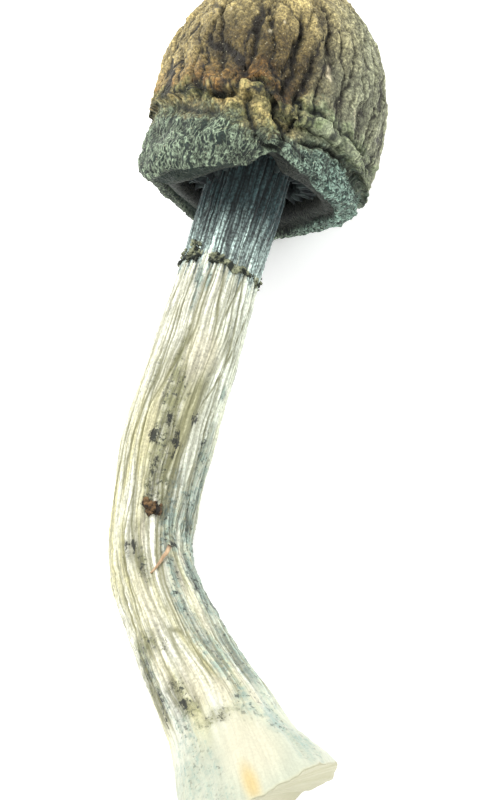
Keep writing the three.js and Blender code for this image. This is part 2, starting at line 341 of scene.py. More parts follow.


# %% [markdown]
# ## Creases drawn one by one
#
# The big creases are drawn one by one as lines on the skin, each point given
# as distance above the belt and angle. A line pushes the skin in along a soft
# groove, or out where its depth is negative, and its darkness is painted shade
# along it. Noise bends the lines, so none looks ruled.

# %% Lines on the cap: half width, depth, darkness (painted shade), and points (mm above belt, degrees)
CAP_LINES = [
    # long creases of the dome
    (0.30, 0.62, 0.9, [(12, -5), (9.3, -6.8), (7.9, -8.8), (6, -8), (4.7, -7.2), (2.2, -8.4),
                       (1.2, -11)]),
    (0.38, 0.80, 1.0, [(11, 11.6), (8.5, 13.6), (5.8, 12.4), (4.4, 14), (2.8, 12.4), (0.75, 10)]),
    (0.32, 0.66, 0.9, [(14, 22.4), (12.5, 28), (10, 30.4), (8, 29.6), (6.5, 32), (5.3, 31)]),
    (0.28, 0.55, 0.9, [(12, -34), (9.4, -32.8), (7.3, -29.2), (4.3, -24.8), (2.9, -22),
                       (0.9, -20)]),
    (0.30, 0.45, 0.8, [(8, -43), (6.2, -41.6), (4.9, -38), (2.5, -37.2), (1.1, -36.8)]),
    (0.34, 0.62, 0.9, [(7.6, 22.4), (5.4, 22.8), (4.3, 21.6), (2.8, 19.2), (2, 19.2),
                       (1.5, 21.6)]),
    (0.26, 0.45, 0.7, [(12, 39.6), (10.6, 45.2), (7.3, 45.2), (4.5, 43)]),
    (0.24, 0.40, 0.7, [(11.2, 63.2), (9.1, 63.2), (6.9, 64.8), (4.7, 65.6), (2.4, 64)]),
    (0.22, 0.35, 0.6, [(8.7, 52), (6.3, 55.2), (3.9, 54)]),
    (0.24, 0.40, 0.8, [(1.2, -10.8), (2.5, -8.8), (3.9, -8), (5, -5)]),
    (0.24, 0.35, 0.7, [(5.6, -56), (4.5, -52.8), (2.4, -45)]),
    # the skin's torn lower edge, with a shadow below each lobe
    (0.34, 0.75, 1.0, [(0.3, -49), (0.1, -42), (1.1, -36), (0.4, -31), (0.0, -27), (-0.65, -22),
                       (-0.45, -12.4), (0.3, -10.4), (1.0, -10), (1.1, 1.2), (0, 5.6),
                       (-0.4, 10)]),
    (0.55, -0.36, 0.0, [(1.3, -44), (2.1, -36), (1.2, -29), (0.45, -22), (0.6, -13.5)]),
    (0.6, -0.30, 0.0, [(2.1, -3), (1.4, 5), (0.8, 9)]),
    # the deep folds that run into the notch
    (0.30, 0.75, 1.0, [(-0.6, -6), (-2.3, -3.2), (-4.1, 1.6), (-6.1, 7.2), (-7.1, 13.2),
                       (-7.6, 16)]),
    (0.30, 0.95, 1.0, [(-0.2, 8.6), (-0.9, 8.8), (-1.8, 10.4), (-2.8, 12.4), (-3.3, 15.6),
                       (-4.8, 17.6), (-6.5, 16.8), (-7.6, 17)]),
    (0.26, 0.80, 1.0, [(2.3, 19.6), (1.7, 21.2), (0.3, 21.6), (-0.6, 21.2), (-2.6, 18.8),
                       (-3.7, 17)]),
    (0.50, -0.35, 0.0, [(0.2, -2), (-1.6, 2), (-3.2, 7), (-4.6, 12)]),
    (0.35, -0.25, 0.0, [(1.2, 16), (-0.4, 17), (-1.8, 17.5)]),
    (0.22, 0.30, 0.7, [(-0.2, 14), (0.1, 17), (-0.3, 20)]),
    (0.22, 0.30, 0.7, [(-1.5, 13), (-1.3, 17), (-1.7, 20)]),
    # the bright roll under the skin on the right, with a crack above and below it
    (0.44, -0.72, 0.0, [(-1.9, 20), (-0.2, 23.2), (0.2, 30), (0.1, 38), (0.2, 46), (0.3, 56),
                        (0.3, 64)]),
    (0.30, 0.60, 0.9, [(1.0, 23.6), (1.6, 29.6), (1.3, 40), (1.5, 48), (1.5, 58), (1.7, 76),
                       (1.6, 90)]),
    (0.27, 1.05, 1.0, [(-3.6, 24.4), (-2.7, 29.6), (-2.5, 34.4), (-1.9, 40), (-1.5, 47),
                       (-1.3, 52), (-1.3, 62), (-1.2, 71), (-1.2, 86)]),
    (0.30, 0.35, 0.8, [(-4.4, 22), (-5.2, 26), (-4.9, 31)]),
    # hollows in the felt below the belt on the left
    (0.55, 0.30, 0.8, [(-1.0, -50), (-1.7, -36), (-2.2, -27), (-2.5, -18)]),
    (0.30, 0.25, 0.5, [(-2.6, -62), (-3.4, -56), (-3.1, -48)]),
    (0.60, -0.20, 0.0, [(-4.2, -60), (-4.6, -40), (-4.9, -20), (-5.6, -4)]),
]

# pale scuffs where the skin is scratched: half width, depth, strength, points
CAP_SCUFFS = [
    (0.11, 0, 0.9, [(6.8, 31.2), (5.8, 32.2), (4.9, 33.8)]),
    (0.10, 0, 0.8, [(7.2, -2.0), (6.6, -2.4)]),
    (0.10, 0, 0.9, [(8.6, 4.4), (7.9, 4.0)]),
    (0.09, 0, 0.7, [(9.6, -27), (9.1, -27.6)]),
    (0.09, 0, 0.7, [(4.2, 51), (3.2, 53)]),
]
LINE_WANDER, SCUFF_WANDER = 0.38, 0.2


def line_effect(skin_points, lines, place):
    """How deep the drawn lines push each point in, and how strongly they mark its colour: painted
    shade for the creases, a pale mark for the scuffs.
    """
    push, dark = np.zeros(len(skin_points)), np.zeros(len(skin_points))
    for width, depth, shade, nodes in lines:
        dense = through(nodes, np.linspace(0, 1, 4 * len(nodes)))
        path = place(dense[:, 0], dense[:, 1])
        close = np.full(len(skin_points), FAR_AWAY)
        ends = np.zeros(len(skin_points))
        for k, (a, b) in enumerate(zip(path, path[1:])):
            run = b - a
            share = np.clip(((skin_points - a) @ run) / (run @ run), 0, 1)
            away = np.linalg.norm(skin_points - a - share[:, None] * run, axis=1)
            nearer = away < close
            close = np.where(nearer, away, close)
            ends = np.where(nearer, (k + share) / (len(path) - 1), ends)
        taper = ease(ends, -0.04, 0.14) * (1 - ease(ends, 0.86, 1.04))
        groove = valley(close, width) * taper
        push = np.where(np.abs(depth * groove) > np.abs(push), depth * groove, push)
        # the mark: painted shade along a crease, or the pale of a scuff
        dark = np.maximum(dark, shade * valley(close, width * 1.1) * taper)
    return push, dark


# %% [markdown]
# ## Relief of the cap's skin
#
# Drying shrinks the flesh faster than the skin. The dome puffs up in long
# pillows with creases between them, narrower and straighter on the right, and
# the creases are darkened with painted shade.
# The belt crumples both ways, and the margin keeps low lumps like felt.

# %% Pillows and creases
def cap_relief(s, deg, r):
    """Lift of the skin in mm and how much painted shade its creases get."""
    at = round_the(deg, s, CAP_ROUND)
    drift = (0.9 * soft_noise(at, 1, (3.2, 3.2, 4.5)) + 0.5 * soft_noise(at, 2, (1.2, 1.2, 1.5))
             + 0.22 * soft_noise(at, 3, 0.55))
    bent = round_the(deg + np.degrees(1.3 * drift / CAP_ROUND),
                     s + 0.6 * soft_noise(at, 4, 1.4), CAP_ROUND)
    low = 0.45 + 0.55 * (1 - ease(s, 5, 17))
    right = ease(deg, 34, 62) * (1 - ease(deg, 140, 172))
    big = (1 - 0.6 * right) * low

    long_cells = border(bent, (2.6, 2.6, 11), 5)
    mid_cells = border(bent, (1.3, 1.3, 3.2), 6)
    small_cells = border(bent, (0.7, 0.7, 1.1), 7)
    pleats = border(bent, (1.2, 1.2, 16), 8)
    rough = 0.12 * soft_noise(at, 9, (0.9, 0.9, 1.3)) + 0.09 * soft_noise(at, 17, 0.42)
    dome = (0.62 * big * pillow(long_cells, 0.5) + 0.20 * pillow(mid_cells, 0.3)
            + 0.10 * pillow(small_cells, 0.2) + 0.34 * right * pillow(pleats, 0.28)
            + rough + 0.30 * soft_noise(at, 10, (5, 5, 6)))
    dome_crease_shade = np.maximum.reduce([big * valley(long_cells, 0.17), 0.50 * valley(mid_cells, 0.12),
                                     0.34 * valley(small_cells, 0.10),
                                     0.85 * right * valley(pleats, 0.14)])

    crumple = border(bent, (1.9, 1.9, 1.6), 11)
    belt = np.exp(-((s / 1.7) ** 2)) * (1 - 0.6 * right)
    belt_lift = belt * (0.45 * pillow(crumple, 0.4) + 0.30 * soft_noise(at, 12, (1.5, 1.5, 1.2)))
    belt_crease_shade = 0.9 * belt * valley(crumple, 0.15)

    felt_cells = border(bent, (0.46, 0.46, 0.95), 13)
    felt_folds = border(bent, (2.2, 2.2, 1.5), 18)
    felt = (0.34 * soft_noise(at, 14, (2.4, 2.4, 2.0)) + 0.18 * soft_noise(at, 15, (1.1, 1.1, 0.9))
            + 0.16 * pillow(felt_cells, 0.12) + 0.18 * pillow(felt_folds, 0.3)
            + 0.07 * soft_noise(at, 16, 0.36))
    felt_crease_shade = np.maximum(0.55 * valley(felt_cells, 0.09), 0.35 * valley(felt_folds, 0.16))

    on_dome = ease(s, -0.6, 0.4)
    height = on_dome * dome + (1 - on_dome) * felt + belt_lift
    crease_shade = np.maximum(on_dome * dome_crease_shade + (1 - on_dome) * felt_crease_shade, belt_crease_shade)
    # the left end of the margin curls in, and the right lobe is held in under the skin
    trim = (0.30 + 1.5 * hump(deg, -112, 52) * ease(-s, 4.5, 8)
            + 0.55 * hump(deg, -88, 45) * hump(s, -0.2, 2.2)
            + 0.45 * hump(deg, 84, 40) * ease(s, -5, -2) * (1 - ease(s, 0.5, 3)))
    return height * np.minimum(1, r / 3.0) - trim, crease_shade


# %% [markdown]
# ## Building the cap
#
# The smooth skin is placed first. Its own normal at each point is measured
# from its neighbours, and the relief and the drawn lines push along it. The
# marks stored on the way are what the material reads: how far a point is above
# the felt and above the brown skin's edge, how deep it lies in a crease, which
# sets its painted shade, and whether it is scuffed, under the margin's lip or
# inside the chamber.

# %% Cap skin
# where the green felt ends and where the brown skin begins: degrees, mm above the belt
FELT_EDGE = [(-180, -0.4), (-90, -0.3), (-50, -0.7), (-35, -1.4), (-20, -1.7), (-10, -2.6),
             (-1, -4.0), (8, -4.8), (15, -4.2), (20, -3.6), (25, -2.9), (34, -2.3), (47, -1.4),
             (76, -1.0), (110, 0.2), (180, -0.4)]
SKIN_EDGE = [(-180, 0.8), (-90, 1.3), (-50, 0.9), (-36, 0.9), (-28, 0.2), (-22, -0.4), (-12, -0.2),
             (-9, 1.0), (1, 1.0), (8, -0.2), (11, -0.8), (14, 0.8), (20, 2.4), (30, 2.7), (50, 2.3),
             (76, 2.5), (110, 1.8), (180, 0.8)]

# where the rolled margin turns under: past it the skin is pushed in and painted dark as shade
LIP_EDGE = [(-180, -8.6), (-110, -8.1), (-71, -8.2), (-42, -7.4), (-30, -7.8), (-17, -8.2),
            (-7, -8.4), (5, -9.3), (15, -8.0), (21, -7.6), (29, -7.4), (55, -8.9), (84, -9.2),
            (130, -9.6), (180, -8.6)]
LIP_TURN = 0.55


def build_cap():
    bm, row, deg = spun_skin(outline, CAP_AROUND)
    s, r = above_belt[row], outline[row, 0]
    inside = ease(ROLL_AT - s, 4.6, 6.6)
    flat = on_cap(s, deg)
    across = on_cap(s, deg + 0.5) - on_cap(s, deg - 0.5)
    down = on_cap(s - 0.15, deg) - on_cap(s + 0.15, deg)
    normal = np.cross(down, across)
    size = np.linalg.norm(normal, axis=1)[:, None]
    normal /= np.where(size > 1e-9, size, 1)
    normal[r < 0.2] = AXIS
    normal[row == len(outline) - 1] = -AXIS
    if (normal[row == 40] * (flat[row == 40] - NECK - ORIGIN)).sum() < 0:
        normal = -normal

    height, crease_shade = cap_relief(s, deg, r)
    at = round_the(deg, s, CAP_ROUND)
    wander = np.stack([soft_noise(at, 20 + k, 0.9) for k in range(3)], 1)
    # the creases push the skin in and paint shade into it; the scuffs below only mark it pale
    push, dark = line_effect(flat + LINE_WANDER * wander, CAP_LINES, on_cap)
    _, scuff = line_effect(flat + SCUFF_WANDER * wander, CAP_SCUFFS, on_cap)
    outer = 1 - inside
    wrapped_deg = (deg + 180) % 360 - 180
    under_lip = ease(np.interp(wrapped_deg, *zip(*LIP_EDGE)) - s, -0.15, 0.45)
    height = (height - push - LIP_TURN * under_lip) * outer
    crease_shade = np.clip(np.maximum(crease_shade, dark), 0, 1) * outer
    points = flat + normal * height[:, None]
    points[:, 2] = np.maximum(points[:, 2], 0)
    marks = {
        "above_felt": s - np.interp(wrapped_deg, *zip(*FELT_EDGE)),
        "above_skin_edge": s - np.interp(wrapped_deg, *zip(*SKIN_EDGE)),
        "under_lip": under_lip,
        "scuff": scuff,
        "crease_shade": crease_shade,
        # the relief's height, from which the material paints highlight on ridges and shade in
        # hollows
        "rise": np.clip(height, -1, 1) * outer,
        "chamber": inside,
        # the side tints fade out toward the tip, where all sides meet
        "turn": np.sin(np.radians(deg)) * ease(r, 0.15 * CAP_RADIUS, 0.8 * CAP_RADIUS),
        "up_dome": s,
        "grain": at,
    }
    return finished(bm, "cap_skin", points, marks)


cap_skin = build_cap()
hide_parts("cap")
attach(cap_skin, "root")

# %% [markdown]
# ## The stem's line
#
# The stem rests on its bowed belly and its foot, and rises to the cap. Each
# station is: share of the reach, share of the bow, lift off the table, radius.

# %% Stem line and girth
STEM_TOP = CAP_HEIGHT - CROWN_FLESH - 0.6
NECK_LIFT = NECK[2] - STEM_RADIUS
STATIONS = [
    (1, 0.13, -PRESS, FOOT_RADIUS), (0.93, -0.03, -PRESS * 0.5, FOOT_RADIUS * 0.85),
    (0.85, -0.25, 0.4, STEM_RADIUS + 1.4), (0.72, -0.7, 0.3, STEM_RADIUS + 0.5),
    (0.58, -1.01, -PRESS, STEM_RADIUS), (0.48, -0.97, 0.25, STEM_RADIUS + 0.1),
    (0.36, -0.78, NECK_LIFT * 0.32, STEM_RADIUS + 0.4),
    (0.235, -0.5, NECK_LIFT * 0.64, STEM_RADIUS + 0.2),
    (0.105, -0.24, NECK_LIFT * 0.92, STEM_RADIUS - 0.1),
]
PATH = np.array([(side * STEM_BOW, -down * STEM_REACH, lift + r)
                 for down, side, lift, r in STATIONS]
                + [NECK + (-0.4, 0, -0.3), NECK + AXIS * (STEM_TOP / 2), NECK + AXIS * STEM_TOP])
GIRTH = np.array([(row[3],) for row in STATIONS] + [(STEM_RADIUS,)] * 3)
SPANS = len(PATH) - 1
NECK_SHARE = 9 / SPANS
# how far each path point lies below the cap's margin; inside the cap it is minus
DOWN_AT = np.array([row[0] * STEM_REACH for row in STATIONS] + [0, -STEM_TOP / 2, -STEM_TOP])


def girth(t, deg):
    return through(GIRTH, t)[..., 0] + FOOT_FLARE * (1 - ease(t, 0, 0.14)) * hump(deg, 95, 110)


def share_at(down):
    """Share along the stem's line at a distance below the margin."""
    return np.interp(-np.asarray(down, float), -DOWN_AT, np.arange(SPANS + 1) / SPANS)


def down_at(t):
    return np.interp(t, np.arange(SPANS + 1) / SPANS, DOWN_AT)


def stem_frame(t):
    t = np.asarray(t, float)
    step = 0.0008
    along = (through(PATH, np.minimum(t + step, 1), True)
             - through(PATH, np.maximum(t - step, 0), True))
    along /= np.linalg.norm(along, axis=-1, keepdims=True)
    side = np.cross(along, (0, 0, 1))
    side /= np.linalg.norm(side, axis=-1, keepdims=True)
    return through(PATH, t, True) + ORIGIN, along, side, np.cross(side, along)


def on_stem(down, deg, lift=0.0):
    """Place on the smooth stem, lifted off its skin."""
    t = share_at(down)
    centre, _, side, up = stem_frame(t)
    a = np.radians(deg)
    reach = girth(t, deg) + lift
    return centre + (reach * np.sin(a))[..., None] * side + (reach * np.cos(a))[..., None] * up


# %% [markdown]
# ## Stains and bruises of the stem
#
# The stem is cream, but it bruises blue where it was handled, has olive
# streaks where it rotted, and black specks of spores. Each stain is an oval on
# the skin: distance below the margin, angle, half length in mm, half width in
# degrees, strength. The material frays the ovals along the fibres.

# %% Stain map: (mm down, degrees, half length, half width, strength)
STAINS = {
    "olive": [
        (17.5, -11, 3.5, 7, 0.8), (20, -8, 3, 10, 0.9), (20, 4, 2.5, 9, 0.9), (19, 14, 3, 8, 0.6),
        (24, 0, 5, 16, 0.9), (29, -3, 4.5, 9, 1.0), (28, 10, 5, 10, 0.8), (19, -34, 2.5, 12, 0.5),
        (13.5, 44, 2.5, 7, 0.45), (17.5, 38, 2, 5, 0.5), (35, -12, 3, 6, 0.6),
        (38.3, -15, 3, 9, 0.9), (36, -36, 3, 12, 0.6), (51, -33, 2, 14, 0.8),
        (52.8, -30, 1.5, 14, 0.9), (55, -10, 0.8, 24, 0.8), (45.6, -50, 1.6, 30, 0.8),
        (48.5, -70, 3.5, 14, 0.8), (13, -52, 0.7, 8, 0.7), (30, 150, 14, 40, 0.6),
        (52, 140, 8, 40, 0.6), (14, -120, 8, 30, 0.6), (22, 170, 10, 30, 0.5)],
    "bruise": [
        (9.3, -20, 1.2, 7, 0.9), (11, -16, 2.2, 5, 0.85), (9.5, -5, 1.3, 4, 0.8),
        (18.9, 64, 0.8, 7, 0.7), (25, 62, 3.5, 14, 0.7), (28, 76, 4, 14, 0.9),
        (31, 60, 4.5, 24, 0.8), (29, 30, 4, 16, 0.5), (33, 28, 4, 14, 0.8), (33, 66, 4, 22, 0.9),
        (35.4, 38, 3, 10, 0.7), (36.5, 22, 3, 9, 0.85), (40, 24, 3.5, 9, 0.9),
        (43.5, 16, 3, 8, 0.9), (41, 56, 5, 14, 1.0), (43, 80, 7, 24, 0.9), (37, 86, 5, 20, 0.8),
        (46.5, 20, 3, 14, 0.65), (48.5, 26, 3.5, 20, 0.65), (51.5, 20, 3, 12, 0.65),
        (50, 60, 6, 30, 0.7), (54, 24, 2.5, 22, 0.7), (56.5, 44, 2.5, 16, 0.8),
        (60, 52, 3, 14, 0.6), (47, -62, 2.5, 16, 0.8), (50.5, -60, 2.5, 14, 0.65),
        (54, -46, 2.5, 14, 0.65), (57, -50, 4, 36, 0.45), (59.2, -27, 1, 10, 0.5),
        (62, -40, 4, 30, 0.4), (20, -130, 9, 40, 0.7), (44, -150, 8, 40, 0.75),
        (33, 120, 8, 34, 0.7), (57, 175, 7, 40, 0.6), (12, 130, 6, 40, 0.5)],
    "spots": [
        (23, 3, 0.9, 6, 1.0), (22.3, 32, 0.7, 6, 0.9), (24.7, 16, 1.1, 8, 1.0),
        (24.4, -8, 0.8, 12, 0.9), (24.5, -15, 0.6, 5, 0.9), (23.5, 56, 0.8, 6, 0.7),
        (27.5, -4, 1.6, 5, 0.8), (29.3, -4, 1.4, 5, 0.95), (31.3, -2, 1.3, 13, 0.8),
        (35.6, -21, 1.5, 5, 0.7), (35.9, -32, 0.9, 5, 0.8), (36, 36, 0.6, 8, 1.0),
        (12.6, -50, 0.5, 5, 1.0), (42, 17, 1.4, 4, 0.8), (41.4, 51, 1.6, 6, 0.8),
        (46.9, -22, 0.6, 5, 0.8), (50.5, -33, 0.9, 8, 0.85), (52.2, -33, 0.8, 8, 0.85),
        (55, -8, 0.4, 10, 0.75), (47, -60, 1.2, 8, 0.6), (50.3, -62, 1.6, 5, 0.8),
        (51.6, -71, 1, 6, 0.8), (39.2, -16, 1.0, 5, 0.8), (26, 140, 1.2, 8, 0.9),
        (38, -110, 1.4, 9, 0.9), (48, 120, 1.2, 8, 0.8)],
    "pale": [
        (41.5, 30, 2.6, 5, 1.0), (44.5, 37, 2.2, 6, 1.0), (46.2, 36, 1.2, 6, 1.0),
        (38, 46, 1.4, 4, 0.8), (42.5, -22, 3.6, 12, 0.8), (34.6, -8, 2.3, 4, 0.9),
        (50.8, -14, 2.6, 11, 0.95), (53, 8, 1.8, 12, 0.9), (54.3, 36, 1.0, 8, 0.95),
        (52.4, 32, 1.2, 5, 0.9), (48.3, -40, 1.8, 8, 0.85), (16.2, 20, 2.2, 22, 1.0),
        (17.7, 14, 1.6, 12, 0.8), (58.5, 6, 3.5, 26, 0.9), (24, -20, 3, 6, 0.4)],
    "tan": [
        (61.6, -4, 1.7, 6, 1.0)],
}


def stain(kind, down, deg):
    worst = np.zeros(len(down))
    for at, centre, half_long, half_wide, strong in STAINS[kind]:
        far = np.abs(deg - centre) % 360
        far = np.minimum(far, 360 - far)
        reach = np.hypot((down - at) / half_long, far / half_wide)
        worst = np.maximum(worst, strong * (1 - ease(reach, 0.2, 1.6)))
    return worst


# %% [markdown]
# ## Building the stem
#
# The stem is a skin of rings spun from a straight line and laid along the
# curve. Its fibres shrink into bundles that part and meet again: stretched
# cells in three sizes give them, broad furrows, bundles and single fibres.
# Near the foot they give way to soft felt.

# %% Stem stalk
STEM_AROUND, STEM_ROWS, HIDDEN_ROWS = 380, 228, 20


def build_stem():
    face = [(share, 0.0) for share in (0, 0.2, 0.4, 0.56, 0.7, 0.82, 0.9, 0.96)]
    sides = np.concatenate([NECK_SHARE * 1.03 * np.arange(STEM_ROWS + 1) / STEM_ROWS,
                            np.linspace(NECK_SHARE * 1.03, 1, HIDDEN_ROWS + 1)[1:]])
    rows = np.array(face + [(1, t) for t in sides] + [(0.7, 1), (0, 1)])
    # the spin needs a rising line; the real shape comes straight after
    bm, row, deg = spun_skin([(r, k) for k, r in enumerate(rows[:, 0])], STEM_AROUND)
    share, t = rows[row, 0], rows[row, 1]
    is_face = row < len(face)
    down = down_at(t)
    centre, along, side, up = (part[row] for part in stem_frame(rows[:, 1]))

    at = round_the(deg, down, STEM_ROUND)
    near_cap = 1 - ease(down, 6, 12)
    drift = (0.5 - 0.35 * near_cap) * soft_noise(at, 41, (3, 3, 11)) + 0.012 * down
    drift = (drift + 0.14 * soft_noise(at, 42, (1, 1, 3.5))
             + 0.05 * soft_noise(at, 43, (0.5, 0.5, 0.9)))
    turned = deg + np.degrees(drift / STEM_ROUND)
    bent = round_the(turned, down, STEM_ROUND)
    furrows = border(bent, (1.9, 1.9, 24), 44)
    bundles = border(bent, (0.52, 0.52, 15), 45)
    fibres = border(bent, (0.36, 0.36, 5), 46)
    beads = soft_noise(bent, 47, (0.3, 0.3, 0.42))
    soft_foot = ease(down, 50, 57)
    pale = stain("pale", down, deg)
    keep = (1 - 0.8 * soft_foot) * (1 - 0.5 * pale)
    height = (keep * (0.20 * pillow(furrows, 0.35) + 0.16 * pillow(bundles, 0.12)
                      + 0.08 * pillow(fibres, 0.08) + 0.07 * beads - 0.30)
              + 0.36 * soft_noise(at, 48, (2.6, 2.6, 9)) * (1 - 0.5 * near_cap))
    groove = keep * np.maximum.reduce([valley(furrows, 0.11), 0.75 * valley(bundles, 0.065),
                                       0.55 * valley(fibres, 0.05)])
    # the middle of the bend is buckled across its fibres
    buckle = border(bent, (1.2, 1.2, 1.8), 49)
    bend = ease(down, 30, 36) * (1 - ease(down, 47, 53))
    height += bend * (0.16 * pillow(buckle, 0.25) - 0.12)
    groove = np.maximum(groove, 0.55 * bend * valley(buckle, 0.10))
    at_foot = round_the(deg, down, FOOT_ROUND)
    height += soft_foot * (0.55 * soft_noise(at_foot, 51, (2.8, 2.8, 5))
                           + 0.16 * soft_noise(at_foot, 50, (1.0, 1.0, 2)) - 0.35)

    a = np.radians(deg)
    reach = share * (girth(t, deg) + height * np.where(is_face, share**3, 1))
    points = centre + (reach * np.sin(a))[:, None] * side + (reach * np.cos(a))[:, None] * up
    slant = np.sin(a) * tan(FOOT_SKEW) - np.cos(a) * tan(FOOT_RAKE)
    at_edge = round_the(deg, 0, FOOT_RADIUS)
    torn = soft_noise(at_edge, 52, 2.2) + 0.5 * soft_noise(at_edge, 53, 0.9)
    forward = share * FOOT_RADIUS * slant * (1 - ease(t, 0, 0.16))
    forward += np.where(t < 0.02, 0.45 * torn * share * (1 - t / 0.02), 0)
    pits = soft_noise(round_the(deg, 0 * a, FOOT_RADIUS * share), 54, 1.2)
    forward += np.where(is_face, FOOT_HOLLOW * (1 - share**2) + 0.35 * pits * (1 - share), 0)
    points += along * forward[:, None]
    points[:, 2] = np.maximum(points[:, 2], 0)

    marks = {kind: stain(kind, down, deg) for kind in STAINS}
    marks |= {
        "down": down, "groove": groove, "turn": np.sin(a), "soft_foot": soft_foot,
        "rise": pillow(bundles, 0.12),
        "torn_face": np.where(is_face, 1, 1 - ease(t, 0, 0.006)),
        "grain": bent,
    }
    return finished(bm, "stem_stalk", points, marks)


stem_stalk = build_stem()
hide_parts("stem")
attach(stem_stalk, "root")

# %% [markdown]
# ## Gills
#
# A gill is a thin blade that hangs from the roof of the cap. Each starts as a
# small grid in the plane of radius and height, is bent by noise so that no two
# are alike, and gets its thickness from a solidify. Between two full blades
# hangs a short one, as in the real cap.

# %% Gill blades
GILL_COUNT, GILL_THICK, WALL_GAP = 36, 0.26, 0.45


def build_gills():
    bm = bmesh.new()
    chamber = through(CHAMBER, np.linspace(0, 1, 60))
    for index in range(2 * GILL_COUNT):
        short = index % 2
        low = ROLL * (2.0 if short else 0.9)
        inner = STEM_RADIUS + (3.0 if short else 1.0)
        grid = bmesh.ops.create_grid(bm, x_segments=5, y_segments=16, size=0.5)["verts"]
        faces = list({f for v in grid for f in v.link_faces})
        flat = np.array([v.co for v in grid]) + 0.5
        h = low + flat[:, 1] * (CHAMBER[4][1] - low - 1.0)
        wall = np.interp(h, chamber[:, 1], chamber[:, 0])
        wall = np.where(h < CHAMBER[0][1], CAP_RADIUS - 2 * ROLL, wall) - WALL_GAP
        r = inner + flat[:, 0] * (np.maximum(wall, inner + 0.2) - inner)
        here = np.stack([h * 0.5, np.full(len(h), index * 1.93), r * 0.4], 1)
        sway = 0.32 * soft_noise(here, 60) + 0.12 * soft_noise(here * 3.3, 61)
        sag = 0.4 * soft_noise(here * 1.9, 62) * (1 - flat[:, 1])
        deg = 180 * index / GILL_COUNT + np.degrees(sway / r)
        points = place_in_cap(r, h + sag, (deg + 180) % 360 - 180, 0.0) + ORIGIN
        for v, p in zip(grid, points):
            v.co = p
        bmesh.ops.solidify(bm, geom=faces, thickness=GILL_THICK)
    return finished(bm, "gill_blades")


gill_blades = build_gills()
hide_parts(*[f"gill_{k + 1:02d}" for k in range(GILL_COUNT)])
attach(gill_blades, "root")

# %% [markdown]
# ## Veil ring
#
# The veil that once joined the cap's margin to the stem tore and shrank to a
# crust round the neck. A thin ragged band is spun and bent round the stem, and
# small lumps are strewn on it, heaped on the left and in the middle, and thin
# as dust on the right.

# %% Veil shreds
RING_WIDTH, RING_SLANT, RING_AROUND = 1.9, 0.2, 260
# how many lumps, angle, half spread, mm down, half spread, smallest and largest radius
CRUST = [(80, -42, 11, 7.2, 1.1, 0.07, 0.26), (50, -3, 8, 7.5, 0.45, 0.07, 0.30),
         (26, 46, 18, 7.9, 0.3, 0.07, 0.15), (26, 84, 14, 8.1, 0.5, 0.08, 0.19),
         (30, -85, 22, 7.3, 0.7, 0.10, 0.28), (40, 135, 40, 7.6, 0.6, 0.10, 0.26),
         (40, -145, 40, 7.4, 0.6, 0.10, 0.28)]


def lump(bm, centre, size, seed, fineness=1):
    """A small crumb: an icosphere pushed about by noise."""
    made = bmesh.ops.create_icosphere(bm, subdivisions=fineness, radius=1.0)["verts"]
    shape = np.array([v.co for v in made])
    push = 1 + 0.5 * soft_noise(shape * 1.3 + seed, 70) + 0.3 * soft_noise(shape * 3 + seed, 71)
    for v, p in zip(made, centre + shape * (push * size)[:, None]):
        v.co = p


def build_ring():
    band = [(1, 0.0), (2, 0.2), (2, 0.5), (2, 0.8), (1, 1.0), (1, 0.5)]
    bm, _, _ = spun_skin(band + band[:1], RING_AROUND)
    bmesh.ops.remove_doubles(bm, verts=bm.verts, dist=1e-4)
    bmesh.ops.recalc_face_normals(bm, faces=bm.faces)
    spun = np.array([v.co for v in bm.verts])
    deg = np.degrees(np.arctan2(spun[:, 0], spun[:, 1]))
    outward = np.hypot(spun[:, 0], spun[:, 1]) - 1
    at = round_the(deg, 0, STEM_ROUND)
    ragged = 0.25 + 0.45 * np.abs(soft_noise(at, 63, 0.9) + 0.6 * soft_noise(at, 64, 0.35))
    thick = 0.06 + 0.16 * np.abs(soft_noise(round_the(deg, spun[:, 2], STEM_ROUND), 65, 0.4))
    rise = (spun[:, 2] - 0.5) * RING_WIDTH * ragged - RING_SLANT * np.sin(np.radians(deg))
    down = RING_DOWN + 0.3 - rise + 0.5 * soft_noise(at, 66, 1.5)
    for v, p in zip(bm.verts, on_stem(down, deg, outward * thick - 0.08)):
        v.co = p
    draw = np.random.default_rng(7)
    for count, middle, spread, at, along, small, large in CRUST:
        for _ in range(count):
            deg = middle + spread * draw.uniform(-1, 1)
            size = small + (large - small) * draw.random() ** 2
            down = at + along * draw.uniform(-1, 1)
            lump(bm, on_stem(down, deg, size * 0.35), size, draw.uniform(0, 90))
    return finished(bm, "veil_shreds")


veil_shreds = build_ring()
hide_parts("veil_ring")
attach(veil_shreds, "root")

# %% [markdown]
# ## Splinter, crumb and hair
#
# Three scraps stick to the stem: a sliver of straw with a dark end, a crumb of
# the soil it grew in, and one fine hair. The sliver is a thin cone bent a
# little, the crumb a cluster of lumps, and the hair a curve turned to a mesh.

# %% Scraps on the stem
SPLINTER_DOWN, SPLINTER_LENGTH, CRUMB_DOWN = 38.7, 3.4, 32.3


